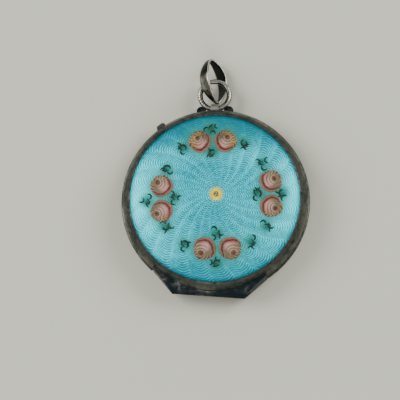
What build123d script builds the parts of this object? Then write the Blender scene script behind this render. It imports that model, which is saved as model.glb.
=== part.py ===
"""Round silver pill box worn as a pendant: an engine-turned lid under transparent enamel, a shallow gilt cup,
a three-knuckle hinge at the back (-Y), and at the front (+Y) a lug, a jump ring and a ribbon bail.

Millimetres. +Z is up, the origin is the centre of the flat underside and the hinge pin is parallel to X.
Each sub-part is written to parts/NODE.step."""

from build123d import *
import math
import os

# ---- driving dimensions -------------------------------------------------------------------------------
CASE_RADIUS = 15.75  # outside of the pan wall
PARTING_Z = 3.3  # where lid and base meet
FLOOR = 0.6  # sheet of the pan
WALL = 0.6
CORNER = 2.0  # outside radius between the underside and the wall
BEAD = 0.28  # half-round wire along the top of the pan wall
SEAM = 0.06  # gap between lid and base

BEARER_WALL = 0.45  # inner ring that the lid snaps over
BEARER_TOP = 4.35
SNAP_RIDGE = 0.06  # how far the snap ridge stands out of the bearer
SNAP_Z = 3.95

LID_RADIUS = 15.72
SKIRT_BORE = 15.25  # runs over the bearer
LINER_STEP_Z = 4.80
PLATE_BORE = 14.95
LIP_BORE = 14.42  # the enamel shows inside this radius
LIP_UNDER_Z = 5.83
LIP_TOP_Z = 6.0
SHOULDER_Z = 3.95  # the rim's outside leaves the cylinder here

ENAMEL_APEX_Z = 6.85
ENAMEL_EDGE_Z = 5.80  # height of the enamel at the lip
ENAMEL = 0.35
PLATE = 0.45
PLATE_RADIUS = 14.9
LINER = 0.3
LINER_RADIUS = 15.22
LINER_APEX_Z = 5.90

HINGE_Y = -15.78
KNUCKLE_RADIUS = 0.60
KNUCKLE_BORE = 0.31
PIN_RADIUS = 0.27
HINGE_HALF = 6.15  # half the length of the three knuckles
KNUCKLE_GAP = 0.04
KNUCKLE_PLAY = 0.06  # room round a knuckle in the other half's seat
SEAT_BACK_Y = -16.15  # back face of both hinge seats
SEAT_ANGLE = 38.0  # where the seats leave the round wall, from the hinge's middle

THUMB_ANGLE = 130.0
THUMB_REACH = 16.40  # radius its nail edge comes out to
THUMB_LENGTH = 1.25
THUMB_WIDTH = 1.60
LUG_ANGLE = 95.0
LUG_HALF = 2.35  # from the lug's middle to the middle of each ear
EAR_RADIUS = 0.8
LUG_LOW = 0.75
LUG_HIGH = 1.95
LUG_PLATE = 0.40
EYE_BORE = 0.60
EYE_OUTSIDE = 0.88
EYE_LENGTH = 1.3

RING_RADIUS = 2.49  # to the middle of the wire
RING_WIRE = 0.45
RING_AT = 16.30  # the wire's middle in the lug's eye, from the case's axis
RING_Z = 2.62
RING_DIP = 2.9  # degrees that the ring lies below level

STAR_RAYS = 18
STAR_RADIUS = 1.32
STAR_BODY = 0.80
STAR_THICK = 0.06

PAINT_THICK = 0.05
ROSE_RADIUS = 1.75
LEAF_LENGTH = 1.9
LEAF_WIDTH = 0.7

BAIL_LENGTH = 7.97
BAIL_DEPTH = 4.61
BAIL_SHEET = 0.34
BAIL_WIDTH = 2.29  # at its widest, past the middle
BAIL_FOOT = 0.61
BAIL_CROWN = 1.20
BAIL_FOOT_ROUND = 0.65  # outside radius of the bends at its two ends
BAIL_CROWN_ROUND = 1.1

# Where the bail lies, propped on the jump ring: its foot, the way it points, its rise and how far it leans.
BAIL_FOOT_AT = (-1.032, 17.255, 2.208)
BAIL_AZIMUTH = 104.4
BAIL_RISE = 3.5
BAIL_LEAN = 45.55


def around(radius, angle, z=0.0):
    """A point at that radius and angle about the case's axis."""
    a = math.radians(angle)
    return Vector(radius * math.cos(a), radius * math.sin(a), z)


def turned(*edges):
    """Solid of revolution about Z from edges drawn in the XZ plane."""
    return revolve(make_face(Wire(edges)), Axis.Z)


def path(*points):
    """Edges through (radius, z) points. A point written as (middle, end) makes an arc through middle."""
    edges = []
    at = Vector(points[0][0], 0, points[0][1])
    for p in points[1:]:
        if isinstance(p[0], tuple):
            middle = Vector(p[0][0], 0, p[0][1])
            end = Vector(p[1][0], 0, p[1][1])
            edges.append(Edge.make_three_point_arc(at, middle, end))
        else:
            end = Vector(p[0], 0, p[1])
            edges.append(Edge.make_line(at, end))
        at = end
    return edges


def corner_point(centre, radius):
    """Middle of a quarter arc that turns from the floor up into the wall."""
    half = radius * math.sqrt(0.5)
    return (centre[0] + half, centre[1] - half)


# ---- the round case -----------------------------------------------------------------------------------
FLAT_RADIUS = CASE_RADIUS - CORNER
PAN_BORE = CASE_RADIUS - WALL
CORNER_CENTRE = (FLAT_RADIUS, CORNER)


def case_envelope():
    """The pan as a full body, for cutting neighbours to its outside."""
    return turned(*path(
        (0, 0), (FLAT_RADIUS, 0), (corner_point(CORNER_CENTRE, CORNER), (CASE_RADIUS, CORNER)),
        (CASE_RADIUS, PARTING_Z), (0, PARTING_Z), (0, 0),
    ))


def pan():
    """Stamped cup: flat floor, rounded corner, upright wall, cut out behind for the hinge."""
    inner = CORNER - FLOOR
    cup = turned(*path(
        (0, 0), (FLAT_RADIUS, 0), (corner_point(CORNER_CENTRE, CORNER), (CASE_RADIUS, CORNER)),
        (CASE_RADIUS, PARTING_Z), (PAN_BORE, PARTING_Z), (PAN_BORE, CORNER),
        (corner_point(CORNER_CENTRE, inner), (FLAT_RADIUS, FLOOR)), (0, FLOOR), (0, 0),
    ))
    return cup - hinge_room(own="base")


def wall_bead():
    """Half-round wire soldered round the top of the wall, in two lengths between hinge seat and lug."""
    z = PARTING_Z - BEAD
    section = make_face(Wire(path(
        (CASE_RADIUS, z - BEAD), ((CASE_RADIUS + BEAD, z), (CASE_RADIUS, z + BEAD)), (CASE_RADIUS, z - BEAD),
    )))
    lug_side = math.degrees(math.asin((LUG_HALF + EAR_RADIUS) / CASE_RADIUS))
    spans = ((SEAT_ANGLE - 90, LUG_ANGLE - lug_side), (LUG_ANGLE + lug_side, 270 - SEAT_ANGLE))
    return Part() + [Rot(0, 0, start) * revolve(section, Axis.Z, end - start) for start, end in spans]


def bearer():
    """Upright inner ring with the ridge that holds the lid shut."""
    outer = PAN_BORE
    return turned(*path(
        (outer - BEARER_WALL, CORNER), (outer, CORNER), (outer, SNAP_Z - 0.15),
        ((outer + SNAP_RIDGE, SNAP_Z), (outer, SNAP_Z + 0.15)), (outer, BEARER_TOP - 0.1),
        (outer - 0.1, BEARER_TOP), (outer - BEARER_WALL, BEARER_TOP), (outer - BEARER_WALL, CORNER),
    ))


# ---- the lid ------------------------------------------------------------------------------------------
SAG = ENAMEL_APEX_Z - ENAMEL_EDGE_Z
DOME_RADIUS = (LIP_BORE**2 + SAG**2) / (2 * SAG)


def dome_z(radius, apex):
    """Height at that radius of the dome whose top is at apex."""
    return apex - (DOME_RADIUS - math.sqrt(DOME_RADIUS**2 - radius**2))


def dome_sheet(radius, apex, thickness):
    """Domed disc of even thickness, measured upright."""
    low = apex - thickness
    half = radius / 2
    return turned(*path(
        (0, low), ((half, dome_z(half, low)), (radius, dome_z(radius, low))), (radius, dome_z(radius, apex)),
        ((half, dome_z(half, apex)), (0, apex)), (0, low),
    ))


LID_BASE_Z = PARTING_Z + SEAM
RIM_OUTSIDE = ((15.38, 5.08), (14.56, LIP_TOP_Z))  # middle and end of the rim's rounded outside


def lid_envelope():
    """The rim as a full body, for cutting neighbours to its outside."""
    return turned(*path(
        (0, LID_BASE_Z), (LID_RADIUS, LID_BASE_Z), (LID_RADIUS, SHOULDER_Z), RIM_OUTSIDE,
        (0, LIP_TOP_Z), (0, LID_BASE_Z),
    ))


def lid_rim():
    """Rounded frame: skirt over the bearer, pocket for the plate, thin lip rubbed over the enamel."""
    lip_nose = ((LIP_BORE + 0.04, LIP_TOP_Z - 0.03), (LIP_BORE, LIP_TOP_Z - 0.08))
    rim = turned(*path(
        (SKIRT_BORE, LID_BASE_Z), (LID_RADIUS, LID_BASE_Z), (LID_RADIUS, SHOULDER_Z), RIM_OUTSIDE,
        lip_nose, (LIP_BORE, LIP_UNDER_Z), (PLATE_BORE, LIP_UNDER_Z), (PLATE_BORE, LINER_STEP_Z),
        (SKIRT_BORE, LINER_STEP_Z), (SKIRT_BORE, LID_BASE_Z),
    ))
    return rim - hinge_room(own="lid")


def thumb_piece():
    """Small nail catch soldered to the rim, scooped underneath."""
    middle = THUMB_REACH - THUMB_LENGTH / 2
    block = Pos(middle, 0, LID_BASE_Z + 0.52) * Box(THUMB_LENGTH, THUMB_WIDTH, 0.95)
    block = fillet(block.edges().filter_by(Axis.Z).group_by(Axis.X)[-1], 0.45)
    block = chamfer(block.faces().sort_by(Axis.X)[-1].edges().sort_by(Axis.Z)[-1], 0.25)
    scoop = Pos(THUMB_REACH + 0.15, 0, LID_BASE_Z - 0.35) * Rot(90, 0, 0) * Cylinder(0.6, 4)
    return Rot(0, 0, THUMB_ANGLE) * (block - scoop) - lid_envelope()


# ---- the hinge ----------------------------------------------------------------------------------------
SEAM_X = HINGE_HALF / 3
HINGE_SPANS = {
    "base": [(-HINGE_HALF, -SEAM_X - KNUCKLE_GAP / 2), (SEAM_X + KNUCKLE_GAP / 2, HINGE_HALF)],
    "lid": [(-SEAM_X + KNUCKLE_GAP / 2, SEAM_X - KNUCKLE_GAP / 2)],
}


def along_hinge(x0, x1, radius):
    """Cylinder on the hinge axis from x0 to x1."""
    return Pos((x0 + x1) / 2, HINGE_Y, PARTING_Z) * Rot(0, 90, 0) * Cylinder(radius, x1 - x0)


def hinge_room(own):
    """What a half loses round the hinge: its own knuckles fit face to face, the other half's with play."""
    room = along_hinge(-9, 9, KNUCKLE_RADIUS)
    other = "lid" if own == "base" else "base"
    for x0, x1 in HINGE_SPANS[other]:
        outward = 3.0 if other == "base" else 0.0
        low = x0 - KNUCKLE_GAP - (outward if x0 < -SEAM_X else 0)
        high = x1 + KNUCKLE_GAP + (outward if x1 > SEAM_X else 0)
        room += along_hinge(low, high, KNUCKLE_RADIUS + KNUCKLE_PLAY)
    return room


def seat_plan(z0, z1):
    """Plan of the hinge seats: straight flanks from the round wall to the ends of the hinge."""
    start = around(CASE_RADIUS, 270 + SEAT_ANGLE)
    corners = [
        (-start.X, start.Y), (-HINGE_HALF, SEAT_BACK_Y), (HINGE_HALF, SEAT_BACK_Y), (start.X, start.Y),
        (start.X - 3, start.Y + 1), (-start.X + 3, start.Y + 1),
    ]
    return Pos(0, 0, z0) * extrude(make_face(Polyline(*corners, close=True)), z1 - z0)


def seat_side(*points):
    """Bar along X with that outline in (y, z), to give a seat its slope."""
    outline = make_face(Polyline(*[(0, y, z) for y, z in points], close=True))
    return Pos(-12, 0, 0) * extrude(outline, 24, dir=(1, 0, 0))


def hinge_seat_base():
    """Filler under the knuckles, sloped back to the pan."""
    side = seat_side((-17, PARTING_Z), (-17, 2.2), (-15.6, 1.5), (-11, 1.1), (-11, PARTING_Z))
    seat = seat_plan(0.5, PARTING_Z) & side
    return seat - case_envelope() - hinge_room(own="base")


def hinge_seat_lid():
    """Filler over the knuckles, sloped up to the rim."""
    side = seat_side((-17, LID_BASE_Z), (-17, 3.85), (-15.9, 4.1), (-14.2, 5.1), (-11, 5.3), (-11, LID_BASE_Z))
    seat = seat_plan(LID_BASE_Z, 5.5) & side
    return seat - lid_envelope() - hinge_room(own="lid")


def knuckle(x0, x1):
    """One length of hinge tube, its ends slightly broken."""
    tube = along_hinge(x0, x1, KNUCKLE_RADIUS) - along_hinge(x0 - 1, x1 + 1, KNUCKLE_BORE)
    rims = [e for e in tube.edges().filter_by(GeomType.CIRCLE) if e.radius > KNUCKLE_BORE + 0.1]
    return chamfer(rims, 0.05)


def hinge_pin():
    """Wire through all three knuckles with rounded ends."""
    pin = along_hinge(-HINGE_HALF - 0.14, HINGE_HALF + 0.14, PIN_RADIUS)
    return fillet(pin.edges().filter_by(GeomType.CIRCLE), 0.12)


# ---- lug, jump ring and bail --------------------------------------------------------------------------
def lug():
    """Curved plate on the wall with a round ear at each end, below the jump ring."""
    height = LUG_HIGH - LUG_LOW
    middle = (LUG_HIGH + LUG_LOW) / 2
    band = Cylinder(CASE_RADIUS + LUG_PLATE, height) - Cylinder(CASE_RADIUS - 0.5, 2 * height)
    plate = band & (Pos(CASE_RADIUS, 0, 0) * Box(3, 2 * LUG_HALF, height))
    for side in (-1, 1):
        plate += Pos(CASE_RADIUS + 0.45, side * LUG_HALF, 0) * Cylinder(EAR_RADIUS, height)
    return Rot(0, 0, LUG_ANGLE) * Pos(0, 0, middle) * plate - case_envelope()


def lug_eye():
    """Short tube across the middle of the lug, open towards the wall, that the jump ring turns in."""
    tube = Cylinder(EYE_OUTSIDE, EYE_LENGTH) - Cylinder(EYE_BORE, EYE_LENGTH + 1)
    eye = Rot(0, 0, LUG_ANGLE) * Pos(RING_AT, 0, RING_Z) * Rot(90, 0, 0) * tube
    return eye - case_envelope() - lug()


def jump_ring():
    """Round wire ring, nearly level, its near side in the eye."""
    ring = Pos(RING_RADIUS, 0, 0) * Torus(RING_RADIUS, RING_WIRE)
    return Rot(0, 0, LUG_ANGLE) * Pos(RING_AT, 0, RING_Z) * Rot(0, RING_DIP, 0) * ring


def bail_frame():
    """Plane of the bail's loop: its origin is the foot, x points to the crown, z is the way a chain passes."""
    az = math.radians(BAIL_AZIMUTH)
    rise = math.radians(BAIL_RISE)
    lean = math.radians(BAIL_LEAN)
    u = Vector(math.cos(az) * math.cos(rise), math.sin(az) * math.cos(rise), math.sin(rise))
    side = Vector(math.sin(az), -math.cos(az), 0)
    up = side.cross(u)
    h = side * math.sin(lean) + up * math.cos(lean)
    return Plane(origin=BAIL_FOOT_AT, x_dir=u, z_dir=h)


def bail_outline(inset):
    """Face of the bail's pointed oval, from its foot at x = 0 to its crown, drawn in by inset."""
    half = BAIL_DEPTH / 2
    foot, crown = BAIL_FOOT_ROUND, BAIL_CROWN_ROUND
    reach = BAIL_LENGTH - foot - crown
    low, high = half, 100.0
    for _ in range(60):  # the flank's radius that just spans from foot to crown
        flank = (low + high) / 2
        to_foot = math.sqrt(max(0.0, (half - foot) * (2 * flank - foot - half)))
        to_crown = math.sqrt(max(0.0, (half - crown) * (2 * flank - crown - half)))
        low, high = (flank, high) if to_foot + to_crown < reach else (low, flank)
    middle = Vector(foot + to_foot, half - flank)
    ends = []
    for x, radius in ((foot, foot), (BAIL_LENGTH - crown, crown)):
        outward = (Vector(x, 0) - middle).normalized()
        ends.append(middle + outward * (flank - inset))
    top = middle + Vector(0, flank - inset)
    mirror = [Vector(p.X, -p.Y) for p in (*ends, top)]
    return make_face([
        ThreePointArc(ends[0], top, ends[1]),
        ThreePointArc(ends[1], (BAIL_LENGTH - inset, 0), mirror[1]),
        ThreePointArc(mirror[1], mirror[2], mirror[0]),
        ThreePointArc(mirror[0], (inset, 0), ends[0]),
    ])


def bail_side():
    """Side view of the bail: its width swells from the foot to two thirds and falls to the crown."""
    widths = [(-0.1, BAIL_FOOT), (0.62 * BAIL_LENGTH, BAIL_WIDTH), (BAIL_LENGTH + 0.1, BAIL_CROWN)]
    near = [(x, w / 2) for x, w in widths]
    far = [(x, -w / 2) for x, w in reversed(widths)]
    return make_face([ThreePointArc(*near), Line(near[-1], far[0]), ThreePointArc(*far), Line(far[-1], near[0])])


def bail():
    """Strip bent to an egg-shaped loop."""
    outside = extrude(bail_outline(0), BAIL_WIDTH, both=True)
    tube = outside - extrude(bail_outline(BAIL_SHEET), 2 * BAIL_WIDTH, both=True)
    side = Rot(90, 0, 0) * extrude(bail_side(), BAIL_DEPTH, both=True)
    return bail_frame().location * (tube & side)


# ---- painted flowers and gold star --------------------------------------------------------------------
PAINT_CENTRE = around(0.55, 66)
ARMS = ((0, 0.5), (90, 0.5), (180, 0.1), (270, 0.0))  # turn from the lug, and how far the pair sits across
ROSE_REACH = 9.2
ROSE_ACROSS = 2.3
LEAF_SPOTS = ((8.3, 5.1), (8.3, -5.1), (6.7, 0.0), (11.5, 0.0))  # along the arm and across it


def on_arm(turn, along, across):
    """Point of the painting at that distance along and across one of its four arms."""
    return PAINT_CENTRE + around(along, LUG_ANGLE + turn) + around(across, LUG_ANGLE + turn + 90)


def on_enamel(flat, thickness):
    """That flat figure as a layer on top of the dome."""
    skin = dome_sheet(14, ENAMEL_APEX_Z + thickness, thickness)
    return extrude(flat, 20) & skin


def painted_roses():
    """Eight separate petals-and-heart dabs of enamel paint, two on each arm."""
    roses = Part()
    for turn, shift in ARMS:
        for side in (-1, 1):
            at = on_arm(turn, ROSE_REACH, shift + side * ROSE_ACROSS)
            roses += on_enamel(Pos(at) * Circle(ROSE_RADIUS), PAINT_THICK)
    return roses


def painted_leaves():
    """Sixteen separate leaf sprigs, four round each pair of roses."""
    leaves = Part()
    for turn, shift in ARMS:
        for along, across in LEAF_SPOTS:
            at = on_arm(turn, along, across + shift)
            leaves += on_enamel(Pos(at) * Rot(0, 0, turn) * Ellipse(LEAF_LENGTH / 2, LEAF_WIDTH / 2), PAINT_THICK)
    return leaves


def gold_star():
    """Foil starburst with pointed rays round a plain middle."""
    points = []
    for i in range(2 * STAR_RAYS):
        radius = STAR_RADIUS if i % 2 == 0 else STAR_BODY
        points.append(around(radius, 180.0 * i / STAR_RAYS))
    return on_enamel(Pos(PAINT_CENTRE) * make_face(Polyline(*points, close=True)), STAR_THICK)


# ---- every node ---------------------------------------------------------------------------------------
def nodes():
    left, right = HINGE_SPANS["base"]
    return {
        "base_pan": pan(),
        "wall_bead": wall_bead(),
        "bearer_ring": bearer(),
        "hinge_seat_base": hinge_seat_base(),
        "hinge_knuckle_left": knuckle(*left),
        "hinge_knuckle_right": knuckle(*right),
        "hinge_pin": hinge_pin(),
        "lug": lug(),
        "lug_eye": lug_eye(),
        "jump_ring": jump_ring(),
        "bail": bail(),
        "lid_rim": lid_rim(),
        "guilloche_plate": dome_sheet(PLATE_RADIUS, ENAMEL_APEX_Z - ENAMEL, PLATE),
        "enamel_dome": dome_sheet(PLATE_RADIUS, ENAMEL_APEX_Z, ENAMEL),
        "gold_star": gold_star(),
        "painted_roses": painted_roses(),
        "painted_leaves": painted_leaves(),
        "lid_liner": dome_sheet(LINER_RADIUS, LINER_APEX_Z, LINER),
        "thumb_piece": thumb_piece(),
        "hinge_seat_lid": hinge_seat_lid(),
        "hinge_knuckle_middle": knuckle(*HINGE_SPANS["lid"][0]),
    }


os.makedirs("parts", exist_ok=True)
for name, solid in nodes().items():
    export_step(solid, f"parts/{name}.step")
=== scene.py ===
import math

import bpy
import numpy as np
from mathutils import Matrix, Vector


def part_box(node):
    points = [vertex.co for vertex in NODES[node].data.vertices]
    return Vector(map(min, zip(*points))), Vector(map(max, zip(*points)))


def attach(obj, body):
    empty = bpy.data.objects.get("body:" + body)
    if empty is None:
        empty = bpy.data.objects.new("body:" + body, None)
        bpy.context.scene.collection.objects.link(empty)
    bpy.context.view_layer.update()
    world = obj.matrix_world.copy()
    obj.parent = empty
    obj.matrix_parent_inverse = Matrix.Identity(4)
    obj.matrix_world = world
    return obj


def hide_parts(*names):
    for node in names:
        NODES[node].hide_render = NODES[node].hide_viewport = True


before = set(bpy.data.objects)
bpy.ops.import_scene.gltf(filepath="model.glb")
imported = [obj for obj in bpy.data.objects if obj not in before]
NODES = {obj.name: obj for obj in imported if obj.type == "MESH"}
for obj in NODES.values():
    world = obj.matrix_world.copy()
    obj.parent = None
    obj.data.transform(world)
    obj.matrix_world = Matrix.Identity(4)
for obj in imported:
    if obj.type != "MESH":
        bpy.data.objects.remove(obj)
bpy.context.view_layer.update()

MM = 0.001

# ---- the lid's dome and its painting, in millimetres ---------------------------------------------------
LIP_RADIUS = 14.42
DOME_SAG = 1.05
DOME_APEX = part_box("enamel_dome")[1].z / MM
DOME_RADIUS = (LIP_RADIUS**2 + DOME_SAG**2) / (2 * DOME_SAG)
ENAMEL_RADIUS = 14.86
ENAMEL_THICK = 0.33
ENAMEL_GRID = 184
PLATE_RADIUS = 14.88
PLATE_THICK = 0.42
PLATE_GRID = 210
CUT_DEPTH = 0.05
LUG_ANGLE = 95.0
PAINT_CENTRE = np.array([0.55 * math.cos(math.radians(66)), 0.55 * math.sin(math.radians(66))])
ROSE_RADIUS = 2.04
PAINT_HIGH = 0.038

# ---- jump ring and bail, in millimetres ----------------------------------------------------------------
RING_RADIUS = 2.49
RING_WIRE = 0.45
RING_AT = 16.30
RING_Z = 2.62
RING_DIP = 2.9
BAIL_LENGTH = 7.97
BAIL_DEPTH = 4.61
BAIL_SHEET = 0.34
BAIL_WIDTHS = (0.61, 2.29, 1.20)  # at the foot, past the middle and at the crown
BAIL_ENDS = (0.65, 1.10)  # radius of the foot and of the crown
BAIL_FOOT_AT = Vector((-1.032, 17.255, 2.208))
BAIL_AZIMUTH = 104.4
BAIL_RISE = 3.5
BAIL_LEAN = 45.55


def dome_z(r):
    """Height of the enamel's top at radius r, in millimetres."""
    return DOME_APEX - (DOME_RADIUS - np.sqrt(DOME_RADIUS**2 - np.square(r)))


def smooth(low, high, x):
    """0 below low, 1 above high, with a soft step between."""
    t = np.clip((x - low) / (high - low), 0.0, 1.0)
    return t * t * (3 - 2 * t)


# ---- meshes --------------------------------------------------------------------------------------------
def mesh_piece(name, verts, faces, body, material, replaces):
    """A mesh object from millimetre vertices, riding on its body."""
    mesh = bpy.data.meshes.new(name)
    mesh.from_pydata([tuple(v) for v in np.asarray(verts, float) * MM], [], faces)
    mesh.validate()
    mesh.update()
    mesh.polygons.foreach_set("use_smooth", [True] * len(mesh.polygons))
    obj = bpy.data.objects.new(name, mesh)
    bpy.context.scene.collection.objects.link(obj)
    obj.data.materials.append(material)
    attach(obj, body)
    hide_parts(*replaces)
    return obj


def value_attribute(obj, name, values):
    """Stores one number for every vertex."""
    layer = obj.data.attributes.new(name, "FLOAT", "POINT")
    layer.data.foreach_set("value", np.asarray(values, np.float32))


def paint_attribute(obj, name, colours):
    """Stores one linear RGBA colour for every vertex."""
    layer = obj.data.attributes.new(name, "FLOAT_COLOR", "POINT")
    layer.data.foreach_set("color", np.asarray(colours, np.float32).ravel())


def join(parts):
    """Joins (verts, faces) pairs into one pair."""
    verts = []
    faces = []
    count = 0
    for v, f in parts:
        verts.append(np.asarray(v, float))
        faces += [tuple(i + count for i in face) for face in f]
        count += len(v)
    return np.vstack(verts), faces


def tube_faces(rows, around, closed_rows=False, capped=True):
    """Faces for rows x around vertices, each row a closed ring of points."""
    faces = []
    last = rows if closed_rows else rows - 1
    for i in range(last):
        for j in range(around):
            a = i * around + j
            b = i * around + (j + 1) % around
            c = ((i + 1) % rows) * around + (j + 1) % around
            d = ((i + 1) % rows) * around + j
            faces.append((a, b, c, d))
    if capped and not closed_rows:
        faces.append(tuple(range(around))[::-1])
        faces.append(tuple((rows - 1) * around + j for j in range(around)))
    return faces


def disc_grid(n):
    """Square grid of n x n cells mapped onto the unit disc: points and quads."""
    t = np.linspace(-1, 1, n + 1)
    u, v = np.meshgrid(t, t, indexing="ij")
    wide = np.abs(u) >= np.abs(v)
    safe_u = np.where(u == 0, 1, u)
    safe_v = np.where(v == 0, 1, v)
    r = np.where(wide, u, v)
    angle = np.where(wide, (math.pi / 4) * v / safe_u, math.pi / 2 - (math.pi / 4) * u / safe_v)
    points = np.stack([(r * np.cos(angle)).ravel(), (r * np.sin(angle)).ravel()], 1)
    faces = []
    for i in range(n):
        for j in range(n):
            a = i * (n + 1) + j
            faces.append((a, a + n + 1, a + n + 2, a + 1))
    side = list(range(n + 1))
    rim = [i * (n + 1) for i in side[:-1]] + [n * (n + 1) + j for j in side[:-1]]
    rim += [i * (n + 1) + n for i in side[:0:-1]] + [j for j in side[:0:-1]]
    return points, faces, rim


def disc_points(radius, n):
    """Coordinates and radii of a disc grid's points."""
    x, y = (radius * disc_grid(n)[0]).T
    return x, y, np.hypot(x, y)


def domed_sheet(x, y, top, under, n):
    """Closed sheet between two heights over the same disc grid."""
    _, faces, rim = disc_grid(n)
    count = len(x)
    verts = np.vstack([np.column_stack([x, y, top]), np.column_stack([x, y, under])])
    lower = [tuple(i + count for i in face[::-1]) for face in faces]
    wall = [(b, a, a + count, b + count) for a, b in zip(rim, rim[1:] + rim[:1])]
    return verts, faces + lower + wall


# ---- material nodes ------------------------------------------------------------------------------------
class Graph:
    """Short names for building a node material."""

    def __init__(self, name):
        self.material = bpy.data.materials.new(name)
        self.material.use_nodes = True
        self.tree = self.material.node_tree
        self.shader = self.tree.nodes["Principled BSDF"]
        coords = self.tree.nodes.new("ShaderNodeTexCoord")
        self.mm = self.vector("SCALE", coords.outputs["Object"], scale=1 / MM)

    def link(self, value, socket):
        if isinstance(value, bpy.types.NodeSocket):
            self.tree.links.new(value, socket)
        elif isinstance(value, (tuple, list)) and len(socket.default_value) == 4:
            socket.default_value = (*value[:3], 1.0)
        else:
            socket.default_value = value

    def set(self, name, value):
        self.link(value, self.shader.inputs[name])

    def math(self, operation, a, b=0.0, clamp=False):
        node = self.tree.nodes.new("ShaderNodeMath")
        node.operation = operation
        node.use_clamp = clamp
        self.link(a, node.inputs[0])
        self.link(b, node.inputs[1])
        return node.outputs[0]

    def vector(self, operation, a, b=(0, 0, 0), scale=1.0):
        node = self.tree.nodes.new("ShaderNodeVectorMath")
        node.operation = operation
        self.link(a, node.inputs[0])
        if operation == "SCALE":
            self.link(scale, node.inputs["Scale"])
        elif operation not in ("LENGTH", "NORMALIZE"):
            self.link(b, node.inputs[1])
        return node.outputs["Value"] if operation in ("LENGTH", "DOT_PRODUCT") else node.outputs["Vector"]

    def split(self, vector):
        node = self.tree.nodes.new("ShaderNodeSeparateXYZ")
        self.link(vector, node.inputs[0])
        return node.outputs

    def noise(self, scale, detail=4.0, rough=0.5, vector=None, distort=0.0):
        node = self.tree.nodes.new("ShaderNodeTexNoise")
        self.link(self.mm if vector is None else vector, node.inputs["Vector"])
        node.inputs["Scale"].default_value = scale
        node.inputs["Detail"].default_value = detail
        node.inputs["Roughness"].default_value = rough
        node.inputs["Distortion"].default_value = distort
        return node.outputs["Fac"]

    def step(self, value, low, high, a=0.0, b=1.0):
        node = self.tree.nodes.new("ShaderNodeMapRange")
        node.interpolation_type = "SMOOTHSTEP"
        for socket, v in zip(node.inputs, (value, low, high, a, b)):
            self.link(v, socket)
        return node.outputs["Result"]

    def mix(self, factor, a, b, blend="MIX"):
        node = self.tree.nodes.new("ShaderNodeMix")
        node.data_type = "RGBA"
        node.blend_type = blend
        self.link(factor, node.inputs[0])
        self.link(a, node.inputs[6])
        self.link(b, node.inputs[7])
        return node.outputs[2]

    def bump(self, height, high_mm, normal=None):
        node = self.tree.nodes.new("ShaderNodeBump")
        node.inputs["Strength"].default_value = 1.0
        node.inputs["Distance"].default_value = high_mm * MM
        self.link(height, node.inputs["Height"])
        if normal is not None:
            self.link(normal, node.inputs["Normal"])
        return node.outputs[0]

    def attribute(self, name):
        node = self.tree.nodes.new("ShaderNodeAttribute")
        node.attribute_name = name
        return node

    def stretched(self, x, y, z):
        return self.vector("MULTIPLY", self.mm, (x, y, z))


def scratches(g, count, width, turn):
    """Fine straight scratches one way across the surface: 1 in a scratch."""
    c, s = math.cos(turn), math.sin(turn)
    along = g.vector("DOT_PRODUCT", g.mm, (c, s, 0.1))
    across = g.vector("DOT_PRODUCT", g.mm, (-s, c, 0.3))
    combine = g.tree.nodes.new("ShaderNodeCombineXYZ")
    g.link(g.math("MULTIPLY", along, 0.12), combine.inputs[0])
    g.link(g.math("MULTIPLY", across, count), combine.inputs[1])
    streak = g.noise(1.0, detail=3.0, rough=0.6, vector=combine.outputs[0], distort=0.3)
    return g.step(streak, 0.62, 0.62 + width)


def tarnished(name, clean, tarnish, dark, amount=0.5, rough=(0.24, 0.48), inside=None, worn_and_lit_by=None):
    """Old silver: a worn clean metal under patches of tarnish, with scratches and small dents."""
    g = Graph(name)
    patches = g.noise(0.35, detail=5.0, rough=0.6)
    cloud = g.noise(1.3, detail=6.0, rough=0.65)
    fine = g.noise(9.0, detail=3.0)
    cover = g.step(g.math("ADD", g.math("MULTIPLY", patches, 0.65), g.math("MULTIPLY", cloud, 0.35)),
                   0.40 - 0.2 * (amount - 0.5), 0.62 - 0.2 * (amount - 0.5))
    colour = g.mix(cover, clean, tarnish)
    spots = g.step(cloud, 0.56, 0.70)
    colour = g.mix(g.math("MULTIPLY", spots, 0.75), colour, dark)
    lines = g.math("MAXIMUM", scratches(g, 7.0, 0.10, 0.5), scratches(g, 5.0, 0.12, 2.1))
    colour = g.mix(g.math("MULTIPLY", lines, 0.35), colour, clean)
    # the attribute darkens the metal towards 0 and brings out the clean silver towards 1; on the ring and
    # bail it holds wear together with painted highlights and painted shade
    if worn_and_lit_by:
        shade = g.attribute(worn_and_lit_by).outputs["Fac"]
        colour = g.mix(g.step(shade, 0.0, 0.5), dark, colour)
        colour = g.mix(g.step(shade, 0.5, 1.0), colour, clean)
    roughness = g.math("ADD", g.step(cover, 0, 1, *rough), g.math("MULTIPLY", fine, 0.10))
    if inside:
        colour = inside(g, colour)
    g.set("Base Color", colour)
    g.set("Metallic", 1.0)
    g.set("Roughness", roughness)
    worn = g.bump(cloud, 0.035)
    pitted = g.bump(fine, 0.006, worn)
    g.set("Normal", g.bump(lines, 0.004, pitted))
    return g.material


def gilt(name="gilding"):
    """Thin gilding, paler and redder where it has worn."""
    g = Graph(name)
    cloud = g.noise(0.5, detail=6.0, rough=0.6)
    fine = g.noise(6.0, detail=4.0)
    worn = g.step(cloud, 0.50, 0.68)
    colour = g.mix(worn, (0.70, 0.46, 0.17), (0.63, 0.45, 0.22))
    lines = scratches(g, 6.0, 0.10, 0.9)
    g.set("Base Color", g.mix(g.math("MULTIPLY", lines, 0.4), colour, (0.80, 0.60, 0.30)))
    g.set("Metallic", 1.0)
    g.set("Roughness", g.math("ADD", g.step(worn, 0, 1, 0.22, 0.38), g.math("MULTIPLY", fine, 0.08)))
    g.set("Normal", g.bump(fine, 0.005, g.bump(cloud, 0.03)))
    return g.material


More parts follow.
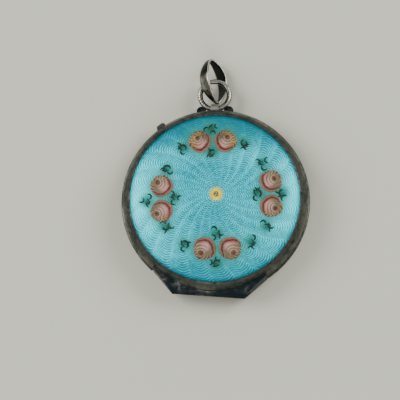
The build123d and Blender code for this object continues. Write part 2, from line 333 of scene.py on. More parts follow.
def gilded_inside(radius, floor):
    """For the pan: gilding on what lies inside that radius and above that height."""
    def inside(g, colour):
        z = g.split(g.mm)[2]
        r = g.vector("LENGTH", g.vector("MULTIPLY", g.mm, (1, 1, 0)))
        within = g.math("MULTIPLY", g.math("LESS_THAN", r, radius), g.math("GREATER_THAN", z, floor))
        cloud = g.noise(0.4, detail=6.0, rough=0.6)
        gold = g.mix(g.step(cloud, 0.5, 0.7), (0.72, 0.47, 0.17), (0.60, 0.50, 0.36))
        return g.mix(within, colour, gold)
    return inside


# ---- guilloche enamel ----------------------------------------------------------------------------------
LOBES = 24
SWIRL = 0.048  # how far the lobes turn, radians for each millimetre outwards
LINE_PITCH = 0.36


def lobe_phase(x, y):
    """Phase of the engine-turned lobes at that point, and its radius."""
    r = np.hypot(x, y)
    return LOBES * (np.arctan2(y, x) - SWIRL * r), r


def flute_depth(x, y):
    """Depth of the broad flutes under the enamel, in millimetres."""
    phase, r = lobe_phase(x, y)
    return 0.006 * smooth(2.0, 6.0, r) * (1 - np.abs(np.cos(phase / 2)))


def guilloche_nodes(g):
    """Height of the fine wavy lines from 0 to 1, and the shape of the lobes from 0 to 1."""
    centred = g.vector("SUBTRACT", g.mm, (PAINT_CENTRE[0], PAINT_CENTRE[1], 0))
    x, y, _ = g.split(centred)
    r = g.vector("LENGTH", g.vector("MULTIPLY", centred, (1, 1, 0)))
    angle = g.math("ARCTAN2", y, x)
    phase = g.math("MULTIPLY", g.math("SUBTRACT", angle, g.math("MULTIPLY", r, SWIRL)), LOBES)
    lobe = g.math("ABSOLUTE", g.math("COSINE", g.math("MULTIPLY", phase, 0.5)))
    reach = g.math("MULTIPLY", g.math("MINIMUM", r, 9.5), 0.075)
    wave = g.math("SUBTRACT", r, g.math("MULTIPLY", reach, lobe))
    wobble = g.math("MULTIPLY", g.noise(0.5, detail=2.0), 0.25)
    turns = g.math("MULTIPLY", g.math("ADD", wave, wobble), 2 * math.pi / LINE_PITCH)
    lines = g.math("ADD", g.math("MULTIPLY", g.math("COSINE", turns), 0.5), 0.5)
    return lines, lobe, r


def enamel_material():
    """Turquoise enamel over the engine-turned plate: glassy on top, with the flash of the cut lines below
    painted into its colour.
    """
    g = Graph("turquoise_guilloche_enamel")
    lines, lobe, r = guilloche_nodes(g)
    paint = g.attribute("halo")
    cloud = g.noise(0.16, detail=3.0)
    sparkle = g.noise(2.2, detail=3.0, rough=0.7)
    deep = (0.0, 0.175, 0.225)
    mid = (0.0, 0.350, 0.440)
    # painted highlight: pale is the flash of the cut lines under the enamel, laid into the colour along the
    # pattern
    pale = (0.055, 0.800, 0.900)
    tone = g.math("ADD", g.math("MULTIPLY", g.math("SUBTRACT", lines, 0.5), 0.58), 0.5)
    tone = g.math("ADD", tone, g.math("MULTIPLY", g.math("SUBTRACT", sparkle, 0.5), 0.9))
    # painted sheen: the colour is made paler along the lobe arms
    arms = g.math("MULTIPLY", g.step(lobe, 0.35, 0.0), g.step(r, 1.5, 4.0))
    tone = g.math("ADD", tone, g.math("MULTIPLY", arms, 0.12))
    tone = g.math("ADD", tone, g.math("MULTIPLY", g.math("SUBTRACT", cloud, 0.5), 0.7))
    # painted shade and sheen: darker towards the lug and the hinge, paler at the two sides
    tone = g.math("SUBTRACT", tone, g.attribute("painted_shade_and_sheen").outputs["Fac"])
    colour = g.mix(g.step(tone, -0.05, 0.55), deep, mid)
    colour = g.mix(g.step(tone, 0.40, 1.10), colour, pale)
    # painted shade: the enamel's colour turns almost black in a ring just inside the bezel, where the rim's
    # recess lies in shadow
    edge = g.step(g.vector("LENGTH", g.vector("MULTIPLY", g.mm, (1, 1, 0))), 13.6, 14.4)
    colour = g.mix(g.math("MULTIPLY", edge, 0.65), colour, (0.0, 0.030, 0.040))
    colour = g.mix(paint.outputs["Alpha"], colour, paint.outputs["Color"])
    g.set("Base Color", colour)
    metal = g.math("MULTIPLY", g.math("SUBTRACT", 1.0, paint.outputs["Alpha"]), 0.35)
    g.set("Metallic", metal)
    g.set("Roughness", g.step(sparkle, 0.3, 0.7, 0.30, 0.44))
    g.set("Specular IOR Level", 0.0)
    g.set("Coat Weight", 0.6)
    g.set("Coat Roughness", 0.16)
    g.set("Coat IOR", 1.5)
    height = g.math("ADD", g.math("MULTIPLY", lines, 0.5), g.math("MULTIPLY", sparkle, 0.25))
    g.set("Normal", g.bump(height, 0.05))
    dome = g.vector("NORMALIZE", g.vector("SUBTRACT", g.mm, (0, 0, DOME_APEX - DOME_RADIUS)))
    world = g.tree.nodes.new("ShaderNodeVectorTransform")
    world.vector_type = "NORMAL"
    world.convert_from = "OBJECT"
    world.convert_to = "WORLD"
    g.link(dome, world.inputs[0])
    g.set("Coat Normal", world.outputs[0])
    return g.material


# ---- the painting --------------------------------------------------------------------------------------
ARMS = ((0, 0.5), (90, 0.5), (180, 0.1), (270, 0.0))  # turn from the lug, and how far the pair sits across
ROSE_REACH = 9.25
ROSE_ACROSS = 2.15


def direction(angle):
    a = math.radians(angle)
    return np.array([math.cos(a), math.sin(a)])


def on_arm(turn, along, across):
    """Point of the painting at that distance along and across one of its four arms."""
    return PAINT_CENTRE + along * direction(LUG_ANGLE + turn) + across * direction(LUG_ANGLE + turn + 90)


class Canvas:
    """Colours at a set of points in the plane, painted over with soft strokes."""

    def __init__(self, x, y, ground):
        self.x = x
        self.y = y
        self.rgb = np.tile(np.array(ground, float), (len(x), 1))
        self.cover = np.zeros(len(x))

    def lay(self, mask, colour):
        mask = np.clip(mask, 0, 1)[:, None]
        self.rgb = self.rgb * (1 - mask) + np.array(colour) * mask

    def wash(self, at, radius, colour, strength):
        """A soft spot of colour that also covers the enamel below."""
        d = np.hypot(self.x - at[0], self.y - at[1])
        mask = strength * (1 - smooth(0.25 * radius, 1.25 * radius, d))
        self.lay(mask, colour)
        self.cover = 1 - (1 - self.cover) * (1 - mask)

    def spot(self, cx, cy, radius, colour, strength=1.0, soft=0.5):
        d = np.hypot(self.x - cx, self.y - cy)
        self.lay(strength * (1 - smooth(radius * (1 - soft), radius * (1 + soft), d)), colour)

    def arc(self, centre, radius, start, end, width, colour, strength=1.0, soft=0.035):
        """Tapered stroke along an arc, angles in degrees, widest in its middle."""
        dx = self.x - centre[0]
        dy = self.y - centre[1]
        span = end - start
        angle = (np.degrees(np.arctan2(dy, dx)) - start) % 360
        t = np.clip(angle / span, 0, 1)
        inside = angle <= span
        half = 0.5 * width * np.sin(math.pi * t) ** 0.6
        gap = np.abs(np.hypot(dx, dy) - radius) - half
        self.lay(strength * inside * (1 - smooth(-soft, soft, gap)), colour)

    def line(self, start, end, width, colour, strength=1.0, soft=0.03):
        """Tapered straight stroke, widest near its end."""
        run = end - start
        t = ((self.x - start[0]) * run[0] + (self.y - start[1]) * run[1]) / run.dot(run)
        t = np.clip(t, 0, 1)
        d = np.hypot(self.x - start[0] - t * run[0], self.y - start[1] - t * run[1])
        half = 0.5 * width * (0.35 + 0.65 * t)
        self.lay(strength * (1 - smooth(-soft, soft, d - half)), colour)


BODY = (0.150, 0.108, 0.066)
PINK = (0.330, 0.062, 0.085)
PALE = (0.440, 0.300, 0.235)
CREAM = (0.135, 0.092, 0.042)
OLIVE = (0.022, 0.024, 0.005)
GOLD = (0.180, 0.115, 0.006)
RED = (0.110, 0.004, 0.008)
WINE = (0.045, 0.002, 0.004)
BROWN = (0.014, 0.004, 0.002)
SLATE = (0.005, 0.007, 0.004)


def rose_ground(c, u, v, golden):
    """Flush, pale middle and golden or olive side of a rose."""
    c.spot(0.50, 0.18, 0.50, PINK, 0.85, 0.7)
    c.spot(0.12, 0.05, 0.34, PALE, 0.80, 0.6)
    c.lay((0.25 + golden) * smooth(-0.5, 0.5, -u - 0.4 * v), OLIVE)
    c.lay(2.0 * golden * smooth(-0.2, 0.6, -v - 0.3 * u), GOLD)


def rose_outer_petal(c, u, v):
    """The petal past the dark crescent, on the side of the star and of the neighbour."""
    c.arc((-0.02, -0.02), 0.91, -66, 150, 0.26, CREAM, 0.95, 0.06)
    c.arc((0.02, -0.06), 0.89, -60, 50, 0.15, PINK, 0.40, 0.06)
    c.lay(0.85 * smooth(0.85, 0.98, np.hypot(u, v)), OLIVE)
    c.arc((-0.12, -0.12), 0.80, -66, 152, 0.19, RED, 0.92, 0.05)
    c.arc((-0.11, -0.11), 0.81, -60, 146, 0.16, WINE, 1.0, 0.03)


def rose_heart(c, rng):
    """Petals wrapped round the heart, and the heart; gives back the heart's place."""
    heart = np.array([-0.36, -0.24]) + rng.uniform(-0.07, 0.07, 2)
    for radius, start, span in ((0.21, -120, 230), (0.41, -70, 150), (0.66, -38, 96)):
        turn = rng.uniform(-14, 14)
        end = start + turn + span
        c.arc(heart, radius + 0.085, start + turn, end, 0.12, PALE, 0.55, 0.06)
        c.arc(heart, radius, start + turn, end, 0.085, BROWN if radius < 0.5 else RED, 0.75)
    c.spot(heart[0], heart[1], 0.17, (0.070, 0.008, 0.002), 0.95, 0.4)
    c.spot(heart[0] - 0.04, heart[1] + 0.02, 0.09, (0.012, 0.003, 0.002), 0.9, 0.4)
    return heart


def rose_tips(c, heart, rng):
    """Petal tips combed along the far edge, and small curls behind the heart."""
    for k in range(9):
        a = 148 + 19 * k + rng.uniform(-6, 6)
        root = rng.uniform(0.66, 0.80) * direction(a - 12)
        tip = 1.02 * direction(a + 7)
        side = 0.09 * direction(a + 90)
        c.line(root + side, tip + side, 0.08, PALE, 0.5)
        c.line(root, tip, 0.13, SLATE if k % 3 == 0 else BROWN, 0.97)
    for k in range(4):
        start = 190 + 28 * k
        middle = heart + 0.45 * direction(start + 10)
        c.arc(middle, 0.24, start, start + 140, 0.07, BROWN, 0.8)
        c.arc(middle, 0.31, start, start + 140, 0.07, PALE, 0.5)


def rose_colours(u, v, rng, golden):
    """Cabbage rose in its own unit disc: u towards the lid's middle, v towards its neighbour."""
    p = rng.uniform(0, 2 * math.pi, 4)
    u = u + 0.018 * np.sin(6 * v + p[0]) + 0.010 * np.sin(15 * u + p[1])
    v = v + 0.018 * np.sin(5 * u + p[2]) + 0.010 * np.sin(13 * v + p[3])
    c = Canvas(u, v, BODY)
    rose_ground(c, u, v, golden)
    rose_outer_petal(c, u, v)
    heart = rose_heart(c, rng)
    rose_tips(c, heart, rng)
    return c.rgb


def rose_dab(at, inward, partner, rng, golden):
    """One raised dab of paint on the dome: vertices, faces and colours."""
    grid, faces, rim = disc_grid(76)
    u, v = grid.T
    t = np.hypot(u, v)
    a = np.arctan2(v, u)
    wob = rng.uniform(0, 2 * math.pi, 3)
    edge = 1 + 0.022 * np.sin(4 * a + wob[0]) + 0.012 * np.sin(9 * a + wob[1]) + 0.02 * np.sin(3 * a + wob[2])
    p = at + ROSE_RADIUS * (np.outer(u * edge, inward) + np.outer(v * edge, partner))
    swell = PAINT_HIGH * (1 - smooth(0.84, 1.0, t)) - 0.014 * smooth(0.93, 1.0, t)
    petals = 0.010 * np.cos(11 * np.hypot(u + 0.4, v + 0.26)) * (1 - t**4)
    surface = dome_z(np.hypot(p[:, 0], p[:, 1]))
    top = np.column_stack([p, surface + np.maximum(swell + petals - 0.01, -0.014)])
    under = np.column_stack([p, surface - 0.034])
    count = len(top)
    wall = [(j, i, i + count, j + count) for i, j in zip(rim, rim[1:] + rim[:1])]
    faces = faces + [tuple(i + count for i in face[::-1]) for face in faces] + wall
    colours = rose_colours(u, v, rng, golden)
    return np.vstack([top, under]), faces, np.vstack([colours, colours])


def rose_material():
    g = Graph("rose_paint")
    paint = g.attribute("paint")
    grain = g.noise(7.0, detail=4.0)
    streak = g.noise(1.0, detail=4.0, vector=g.stretched(3.0, 9.0, 1.0))
    brushed = g.math("MULTIPLY", g.step(streak, 0.35, 0.7), 0.22)
    specks = g.math("MULTIPLY", g.step(grain, 0.5, 0.75), 0.20)
    colour = g.mix(brushed, paint.outputs["Color"], (0.36, 0.23, 0.17))
    g.set("Base Color", g.mix(specks, colour, (0.05, 0.02, 0.012)))
    g.set("Roughness", g.step(grain, 0.3, 0.7, 0.30, 0.42))
    g.set("Specular IOR Level", 0.3)
    g.set("Coat Weight", 0.25)
    g.set("Coat Roughness", 0.12)
    g.set("Normal", g.bump(streak, 0.012))
    return g.material


def make_roses(rng):
    parts = []
    colours = []
    for turn, shift in ARMS:
        inward = -direction(LUG_ANGLE + turn)
        for side in (-1, 1):
            at = on_arm(turn, ROSE_REACH, shift + side * ROSE_ACROSS)
            partner = -side * direction(LUG_ANGLE + turn + 90)
            golden = 0.50 if turn == 0 else 0.14
            v, f, c = rose_dab(at, inward, partner, rng, golden)
            if np.cross(inward, partner) < 0:
                f = [face[::-1] for face in f]
            parts.append((v, f))
            colours.append(c)
    verts, faces = join(parts)
    rgb = np.vstack(colours)
    obj = mesh_piece("painted_rose_dabs", verts, faces, "lid",
                     rose_material(), ["painted_roses"])
    paint_attribute(obj, "paint", np.column_stack([rgb, np.ones(len(rgb))]))
    return obj


# A sprig is a few brush arcs: centre, radius, start and end angle, width.
CURLS = (
    ((0.00, 0.00), 0.46, 190, 400, 0.42),
    ((0.66, 0.40), 0.42, 150, 350, 0.38),
    ((0.30, -0.45), 0.80, 60, 140, 0.34),
    ((-0.55, 0.32), 0.38, 10, 200, 0.38),
    ((-0.22, -0.70), 0.34, -60, 150, 0.36),
    ((0.98, -0.28), 0.34, 80, 260, 0.34),
)
SPRIGS = (
    (0, 8.2, 5.6, 30), (0, 11.5, 0.85, -60), (0, 7.2, 0.6, 100), (0, 8.9, -4.9, 200),
    (90, 8.3, -4.6, 10), (90, 11.8, 0.8, 80), (90, 6.95, 0.5, -90), (90, 8.5, 5.4, 170),
    (180, 8.5, -5.4, 200), (180, 6.7, 0.0, 60), (180, 11.8, 0.0, -100), (180, 8.2, 5.8, 20),
    (270, 7.9, 5.3, 160), (270, 6.95, 0.0, 90), (270, 11.2, 0.1, -90), (270, 8.3, -5.6, 0),
)


def brush_stroke(centre, radius, start, end, width):
    """Raised tapered stroke along an arc on the dome."""
    steps, section = 16, 7
    rows = []
    for i in range(steps + 1):
        t = i / steps
        a = math.radians(start + (end - start) * t)
        out = np.array([math.cos(a), math.sin(a)])
        half = 0.5 * width * max(0.12, math.sin(math.pi * (0.06 + 0.88 * t)) ** 0.7) * (1.15 - 0.4 * t)
        mid = np.array(centre) + radius * out
        k = np.linspace(0, math.pi, section)
        p = mid + np.outer(half * np.cos(k), out)
        z = dome_z(np.hypot(p[:, 0], p[:, 1])) - 0.014 + PAINT_HIGH * np.sin(k)
        rows.append(np.column_stack([p, z]))
    return np.vstack(rows), tube_faces(steps + 1, section)


def make_leaves(rng, canvas):
    """All leaf strokes, and their soft green halo painted under the gloss."""
    parts = []
    for turn, along, across, tilt in SPRIGS:
        at = on_arm(turn, along, across)
        spin = LUG_ANGLE + turn + tilt + rng.uniform(-20, 20)
        canvas.wash(at, 1.55, (0.003, 0.085, 0.048), 0.80)
        canvas.wash(at + 0.3 * direction(spin), 0.60, (0.002, 0.050, 0.016), 0.65)
        ex, ey = direction(spin), direction(spin + 90)
        for k in rng.permutation(len(CURLS))[:4]:
            (cx, cy), radius, start, end, width = CURLS[k]
            size = rng.uniform(1.05, 1.35)
            centre = at + size * (cx * ex + cy * ey)
            parts.append(brush_stroke(centre, radius * size, start + spin, end + spin, width))
    verts, faces = join(parts)
    return mesh_piece("painted_leaf_sprigs", verts, faces, "lid",
                      leaf_material(), ["painted_leaves"])


def leaf_material():
    g = Graph("leaf_paint")
    cloud = g.noise(1.2, detail=3.0)
    fine = g.noise(8.0, detail=3.0)
    colour = g.mix(g.step(cloud, 0.42, 0.62), (0.001, 0.012, 0.014), (0.002, 0.032, 0.016))
    g.set("Base Color", g.mix(g.math("MULTIPLY", fine, 0.25), colour, (0.002, 0.020, 0.020)))
    g.set("Roughness", g.step(fine, 0.3, 0.7, 0.45, 0.60))
    g.set("Specular IOR Level", 0.25)
    g.set("Coat Weight", 0.08)
    g.set("Normal", g.bump(fine, 0.004))
    return g.material


def make_enamel(rng):
    """The enamel dome with the plate's flutes showing in it and the sprigs' halo."""
    x, y, r = disc_points(ENAMEL_RADIUS, ENAMEL_GRID)
    top = dome_z(r) - flute_depth(x - PAINT_CENTRE[0], y - PAINT_CENTRE[1])
    verts, faces = domed_sheet(x, y, top, dome_z(r) - ENAMEL_THICK, ENAMEL_GRID)
    obj = mesh_piece("enamel_dome_turquoise", verts, faces, "lid",
                     enamel_material(), ["enamel_dome"])
    canvas = Canvas(np.tile(x, 2), np.tile(y, 2), (0.05, 0.30, 0.17))
    make_leaves(rng, canvas)
    for turn, shift in ARMS:
        for side in (-1, 1):
            at = on_arm(turn, ROSE_REACH, shift + side * ROSE_ACROSS)
            canvas.wash(at, 2.9, (0.018, 0.050, 0.016), 0.92)
    paint_attribute(obj, "halo", np.column_stack([canvas.rgb, canvas.cover]))
    # painted shade and sheen: the colour is made deeper towards the lug and towards the hinge and paler at
    # the two sides, standing in for how the cut silver under the enamel reflects the light
    along = (x * direction(LUG_ANGLE)[0] + y * direction(LUG_ANGLE)[1]) / ENAMEL_RADIUS
    painted_shade_and_sheen = 0.62 * smooth(0.50, 0.92, along) + 0.34 * smooth(0.60, 1.0, -along)
    painted_shade_and_sheen = painted_shade_and_sheen - 0.50 * smooth(0.3, 1.0, 1 - np.abs(along)) * smooth(0.3, 0.9, r / ENAMEL_RADIUS)
    value_attribute(obj, "painted_shade_and_sheen", np.tile(painted_shade_and_sheen, 2))


def make_plate(material):
    """The engine-turned silver plate under the enamel, its wavy lines cut into the surface."""
    x, y, r = disc_points(PLATE_RADIUS, PLATE_GRID)
    dx, dy = x - PAINT_CENTRE[0], y - PAINT_CENTRE[1]
    phase, reach = lobe_phase(dx, dy)
    wave = reach - 0.075 * np.minimum(reach, 9.5) * np.abs(np.cos(phase / 2))
    cuts = 0.5 + 0.5 * np.cos(wave * 2 * math.pi / LINE_PITCH)
    low = dome_z(r) - ENAMEL_THICK - 0.02
    verts, faces = domed_sheet(x, y, low - CUT_DEPTH * cuts, low - PLATE_THICK, PLATE_GRID)
    mesh_piece("guilloche_engraved_plate", verts, faces, "lid",
               material, ["guilloche_plate"])


# ---- gold star -----------------------------------------------------------------------------------------
STAR_RAYS = 18
STAR_RADIUS = 1.42
STAR_BODY = 0.68


def star_material():
    g = Graph("gold_paillon")
    centred = g.vector("SUBTRACT", g.mm, (PAINT_CENTRE[0], PAINT_CENTRE[1], 0))
    r = g.vector("LENGTH", g.vector("MULTIPLY", centred, (1, 1, 0)))
    fine = g.noise(7.0, detail=3.0)
    colour = g.mix(g.step(r, 0.30, 0.62), (0.14, 0.065, 0.002), (0.95, 0.78, 0.05))
    g.set("Base Color", g.mix(g.math("MULTIPLY", fine, 0.3), colour, (0.40, 0.24, 0.02)))
    g.set("Metallic", 0.5)
    g.set("Roughness", g.step(fine, 0.3, 0.7, 0.22, 0.40))
    g.set("Coat Weight", 0.6)
    g.set("Normal", g.bump(fine, 0.01))
    return g.material


def make_star():
    """Starburst foil: pointed rays with a ridge, and a small spiral rosette in the middle."""
    rings, spokes = 22, STAR_RAYS * 10
    a = np.linspace(0, 2 * math.pi, spokes, endpoint=False)
    saw = 1 - np.abs(((a * STAR_RAYS / (2 * math.pi)) % 1) * 2 - 1)
    edge = STAR_BODY + (STAR_RADIUS - STAR_BODY) * saw**0.75
    rows = []
    for i in range(rings + 1):
        t = max(i / rings, 1e-3)
        rr = t * edge
        ridge = 0.035 * saw * smooth(0.5, 1.0, rr) * (1 - smooth(0.92, 1.0, np.full(spokes, t)))
        spiral = 0.022 * np.cos(3 * a - 9 * rr) * (1 - smooth(0.45, 0.75, rr))
        dish = 0.018 * smooth(0.35, 0.75, rr)
        x, y = PAINT_CENTRE[0] + rr * np.cos(a), PAINT_CENTRE[1] + rr * np.sin(a)
        relief = np.minimum(0.02 + ridge + spiral + dish, 0.058)
        rows.append(np.column_stack([x, y, dome_z(np.hypot(x, y)) + relief]))
    foot = rows[-1].copy()
    foot[:, 2] = dome_z(np.hypot(foot[:, 0], foot[:, 1])) - 0.02
    rows.append(foot)
    return mesh_piece("gold_star_foil", np.vstack(rows), tube_faces(len(rows), spokes), "lid",
                      star_material(), ["gold_star"])


# ---- jump ring, lug and bail ---------------------------------------------------------------------------
def lug_frame():
    """Matrix from the lug's own frame, x outwards, to the part's frame, in millimetres."""
    return Matrix.Rotation(math.radians(LUG_ANGLE), 4, "Z")


def placed(verts, matrix):
    m = np.array(matrix)
    return np.asarray(verts) @ m[:3, :3].T + m[:3, 3]


def make_jump_ring(material):
    """Wire ring with a flattened worn spot and a soldered butt; its shading values hold a painted highlight
    along one side of the wire and painted shade on the ring's two sides.
    """
    around, section = 160, 28
    rows = []
    wear_and_painted_light = []
    for i in range(around):
        a = 2 * math.pi * i / around
        seam = math.exp(-((a - 0.9) / 0.025) ** 2)
        worn = 0.035 * math.exp(-((math.cos(a) - 1) / 0.08) ** 2)
        wire = RING_WIRE * (1 - 0.015 * math.sin(5 * a) ** 2 - 0.10 * seam) - worn
        k = np.linspace(0, 2 * math.pi, section, endpoint=False)
        out = RING_RADIUS + wire * np.cos(k)
        rows.append(np.column_stack([RING_RADIUS + out * math.cos(a), out * math.sin(a), wire * np.sin(k)]))
        # painted shade on the ring's two sides, broken by small lighter ridges; painted highlight along one
        # side of the wire; the soldered seam darker
        painted_side_shade = math.exp(-((a - 2.1) / 0.55) ** 2) + 0.6 * math.exp(-((a - 4.6) / 0.5) ** 2)
        painted_wire_highlight = np.maximum(0, np.cos(k - 1.0)) ** 3
        wear_and_painted_light.append((0.16 + 0.84 * painted_wire_highlight) * (1 - 0.75 * painted_side_shade * (0.5 + 0.5 * math.cos(36 * a))) - 0.6 * seam)
    dip = Matrix.Rotation(math.radians(RING_DIP), 4, "Y")
    matrix = lug_frame() @ Matrix.Translation((RING_AT, 0, RING_Z)) @ dip
    verts = placed(np.vstack(rows), matrix)
    obj = mesh_piece("jump_ring_wire", verts, tube_faces(around, section, closed_rows=True), "ring",
                     material, ["jump_ring"])
    value_attribute(obj, "wear_and_painted_light", np.concatenate(wear_and_painted_light))
    return obj


def bail_axes():
    az, rise, lean = (math.radians(a) for a in (BAIL_AZIMUTH, BAIL_RISE, BAIL_LEAN))
    u = Vector((math.cos(az) * math.cos(rise), math.sin(az) * math.cos(rise), math.sin(rise)))
    side = Vector((math.sin(az), -math.cos(az), 0))
    up = side.cross(u)
    h = side * math.sin(lean) + up * math.cos(lean)
    return u, h.cross(u), h


def bail_outline(count):
    """Points and outward normals round the bail's pointed oval, from the foot."""
    half = BAIL_DEPTH / 2
    foot, crown = BAIL_ENDS
    reach = BAIL_LENGTH - foot - crown
    low, high = half, 100.0
    for _ in range(60):
        flank = (low + high) / 2
        to_foot = math.sqrt(max(0.0, (half - foot) * (2 * flank - foot - half)))
        to_crown = math.sqrt(max(0.0, (half - crown) * (2 * flank - crown - half)))
        low, high = (flank, high) if to_foot + to_crown < reach else (low, flank)
    middle = np.array([foot + to_foot, half - flank])
    turn_foot = math.atan2(-middle[1], foot - middle[0])
    turn_crown = math.atan2(-middle[1], BAIL_LENGTH - crown - middle[0])
    pieces = []
    for centre, radius, start, end, n in (
        ((foot, 0), foot, math.pi, turn_foot, count // 8),
        (middle, flank, turn_foot, turn_crown, count // 4),
        ((BAIL_LENGTH - crown, 0), crown, turn_crown, 0.0, count // 8),
    ):
        a = np.linspace(start, end, n, endpoint=False)
        n_ = np.column_stack([np.cos(a), np.sin(a)])
        pieces.append(np.hstack([np.array(centre) + radius * n_, n_]))
    top = np.vstack(pieces)
    crown_point = np.array([[BAIL_LENGTH, 0, 1, 0]])
    mirror = top[:0:-1] * [1, -1, 1, -1]
    return np.vstack([top, crown_point, mirror])


def bail_width(x):
    """Half the ribbon's width at that distance from the foot: an arc through its three widths."""
    x1, x2, x3 = -0.1, 0.62 * BAIL_LENGTH, BAIL_LENGTH + 0.1
    y1, y2, y3 = (w / 2 for w in BAIL_WIDTHS)
    m = np.array([[x2 - x1, y2 - y1], [x3 - x1, y3 - y1]])
    c = np.linalg.solve(m, 0.5 * np.array([x2**2 - x1**2 + y2**2 - y1**2, x3**2 - x1**2 + y3**2 - y1**2]))
    radius = math.hypot(x1 - c[0], y1 - c[1])
    return c[1] + np.sqrt(np.maximum(radius**2 - np.square(x - c[0]), 0))


def make_bail(material):
    """Domed ribbon bent to a pointed oval, with a beaded edge along one side."""
    path = bail_outline(176)
    u, v, h = (np.array(a) for a in bail_axes())
    half = bail_width(path[:, 0])
    wear_and_painted_light = []
    across = np.concatenate([np.linspace(-1, 1, 13), np.linspace(1, -1, 13)])
    outer = np.array([True] * 13 + [False] * 13)
    rows = []
    for (x, y, nx, ny), w in zip(path, half):
        edge = np.abs(across) ** 2.6
        depth = np.where(outer, 0.15 * edge, BAIL_SHEET - 0.03 * edge)
        depth = np.where(np.abs(across) > 0.99, np.where(outer, 0.19, BAIL_SHEET - 0.04), depth)
        px, py = x - nx * depth, y - ny * depth
        rows.append(np.outer(px, u) + np.outer(py, v) + np.outer(w * across * 0.985, h))
        # painted highlight along one edge of the ribbon's outer face and painted shade along the other edge;
        # a darker patch near the crown; the inner face darkest, the rims brightest
        face = 0.30 + 0.65 * smooth(0.72, 0.97, across) - 0.2 * smooth(0.6, 1.0, -across)
        patch = 0.5 * math.exp(-((x - 0.80 * BAIL_LENGTH) / 0.8) ** 2)
        wear_and_painted_light.append(np.where(outer, face - patch, np.where(np.abs(across) > 0.99, 0.95, 0.05)))
    body = (np.vstack(rows), tube_faces(len(rows), len(across), closed_rows=True))
    step = np.hypot(*np.diff(np.vstack([path[:, :2], path[:1, :2]]), axis=0).T)
    run = np.concatenate([[0], np.cumsum(step)])
    beads = int(run[-1] / 0.25)
    parts = [body]
    for k in range(beads):
        s = run[-1] * k / beads
        x, y, nx, ny = (np.interp(s, run, np.append(path[:, i], path[0, i])) for i in range(4))
        w = float(bail_width(x))
        centre = (x - nx * 0.13) * u + (y - ny * 0.13) * v + (w - 0.12) * h
        parts.append(bead(centre, 0.115))
        wear_and_painted_light.append(np.full(len(parts[-1][0]), 0.85))
    verts, faces = join(parts)
    verts = verts + np.array(BAIL_FOOT_AT)
    obj = mesh_piece("ribbon_bail", verts, faces, "bail", material, ["bail"])
    value_attribute(obj, "wear_and_painted_light", np.concatenate(wear_and_painted_light))
    return obj


def bead(centre, radius, rings=6, spokes=10):
    rows = []
    for i in range(rings + 1):
        a = math.pi * (0.03 + 0.94 * i / rings)
        k = np.linspace(0, 2 * math.pi, spokes, endpoint=False)
        rows.append(centre + radius * np.column_stack([math.sin(a) * np.cos(k), math.sin(a) * np.sin(k),
                                                       np.full(spokes, math.cos(a))]))
    return np.vstack(rows), tube_faces(rings + 1, spokes)


# ---- floor, light and camera ---------------------------------------------------------------------------
def make_floor():
    size = 1.6
    mesh = bpy.data.meshes.new("tabletop")
    n = 8
    t = np.linspace(-size / 2, size / 2, n + 1)
    verts = [(x, y, 0.0) for x in t for y in t]
    faces = [(i * (n + 1) + j, (i + 1) * (n + 1) + j, (i + 1) * (n + 1) + j + 1, i * (n + 1) + j + 1)
             for i in range(n) for j in range(n)]
    mesh.from_pydata(verts, [], faces)
    obj = bpy.data.objects.new("tabletop", mesh)
    bpy.context.scene.collection.objects.link(obj)
    g = Graph("pale_card")
    fine = g.noise(0.9, detail=4.0)
    g.set("Base Color", g.mix(g.math("MULTIPLY", fine, 0.10), (0.51, 0.51, 0.425), (0.45, 0.45, 0.375)))
    g.set("Roughness", 0.75)
    g.set("Normal", g.bump(g.noise(3.0, detail=4.0), 0.01))
    obj.data.materials.append(g.material)


def area_light(name, place, energy, size, colour=(1, 1, 1)):
    light = bpy.data.lights.new(name, "AREA")
    light.shape = "DISK"
    light.size = size
    light.energy = energy
    light.color = colour
    obj = bpy.data.objects.new(name, light)
    bpy.context.scene.collection.objects.link(obj)
    obj.location = place
    obj.rotation_euler = (Vector((0, 0, 0)) - Vector(place)).to_track_quat("-Z", "Y").to_euler()


def make_light():
    world = bpy.data.worlds.new("studio")
    bpy.context.scene.world = world
    world.use_nodes = True
    background = world.node_tree.nodes["Background"]
    background.inputs["Color"].default_value = (0.93, 0.97, 1.0, 1)
    background.inputs["Strength"].default_value = 0.50
    area_light("softbox_left", (-0.52, 0.10, 0.50), 4.6, 0.50, (1.0, 0.99, 0.96))
    area_light("softbox_right", (0.50, 0.30, 0.52), 4.6, 0.50, (1.0, 0.99, 0.97))
    area_light("softbox_front", (0.05, -0.62, 0.55), 2.3, 0.50, (1.0, 0.99, 0.97))


CAMERA_AZIMUTH = 18.0
CAMERA_ELEVATION = 77.0
CAMERA_ROLL = 13.8
CAMERA_FAR = 0.46
VIEW_WIDTH = 67.9  # millimetres across the picture at the case
VIEW_OFFSET = (2.65, -0.30)  # how far the case's middle sits right of and above the picture's middle


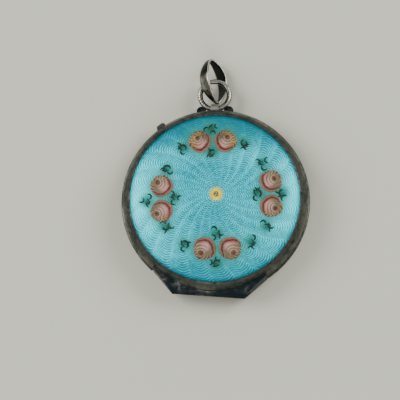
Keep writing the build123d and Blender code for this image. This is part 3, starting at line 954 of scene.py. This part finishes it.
def make_camera():
    a, e, roll = (math.radians(v) for v in (CAMERA_AZIMUTH, CAMERA_ELEVATION, CAMERA_ROLL))
    back = Vector((math.sin(a) * math.cos(e), -math.cos(a) * math.cos(e), math.sin(e)))
    level = Vector((math.cos(a), math.sin(a), 0))
    upright = back.cross(level)
    right = level * math.cos(roll) - upright * math.sin(roll)
    up = level * math.sin(roll) + upright * math.cos(roll)
    middle = Vector((0, 0, 3.0)) - right * VIEW_OFFSET[0] - up * VIEW_OFFSET[1]
    camera = bpy.data.cameras.new("camera")
    camera.sensor_width = 36.0
    camera.lens = 36.0 * CAMERA_FAR / (VIEW_WIDTH * MM)
    obj = bpy.data.objects.new("camera", camera)
    bpy.context.scene.collection.objects.link(obj)
    axes = Matrix((right, up, back)).transposed().to_4x4()
    obj.matrix_world = Matrix.Translation(middle * MM + back * CAMERA_FAR) @ axes
    bpy.context.scene.camera = obj


# ---- everything ----------------------------------------------------------------------------------------
def dress(material, *names):
    for name in names:
        NODES[name].data.materials.clear()
        NODES[name].data.materials.append(material)


make_camera()
make_light()
make_floor()

# clean, tarnished and darkest colour of each silver
SILVERS = {
    "rim_silver": ((0.105, 0.105, 0.090), (0.036, 0.044, 0.038), (0.008, 0.013, 0.013)),
    "pan_silver": ((0.125, 0.120, 0.100), (0.045, 0.048, 0.042), (0.011, 0.014, 0.014)),
    "hinge_silver": ((0.070, 0.074, 0.068), (0.010, 0.016, 0.018), (0.002, 0.006, 0.008)),
    "finding_silver": ((0.460, 0.440, 0.380), (0.075, 0.072, 0.060), (0.007, 0.010, 0.009)),
    "bright_silver": ((0.480, 0.460, 0.410), (0.160, 0.155, 0.135), (0.020, 0.023, 0.020)),
}
GILT_INSIDE_RADIUS = 15.13
GILT_ABOVE_Z = 0.55

rng = np.random.default_rng(7)
rim_silver = tarnished("rim_silver", *SILVERS["rim_silver"], 0.6)
pan_silver = tarnished("pan_silver", *SILVERS["pan_silver"], 0.5,
                       inside=gilded_inside(GILT_INSIDE_RADIUS, GILT_ABOVE_Z))
hinge_silver = tarnished("hinge_silver", *SILVERS["hinge_silver"], 0.9)
finding_silver = tarnished("finding_silver", *SILVERS["finding_silver"], 0.6,
                           rough=(0.10, 0.26), worn_and_lit_by="wear_and_painted_light")
bright_silver = tarnished("bright_silver", *SILVERS["bright_silver"], 0.5)
gold = gilt()

dress(rim_silver, "lid_rim", "thumb_piece", "wall_bead")
dress(pan_silver, "base_pan")
# the hinge's pieces and the lug get the darkest silver; on the lug it is also painted shade for the shadowed
# space between the ring and the rim
dress(hinge_silver, "hinge_seat_base", "hinge_seat_lid", "hinge_knuckle_left", "hinge_knuckle_middle",
      "hinge_knuckle_right", "hinge_pin", "lug")
dress(bright_silver, "lug_eye")
dress(gold, "lid_liner", "bearer_ring")

make_enamel(rng)
make_plate(bright_silver)
make_roses(rng)
make_star()
make_jump_ring(finding_silver)
make_bail(finding_silver)
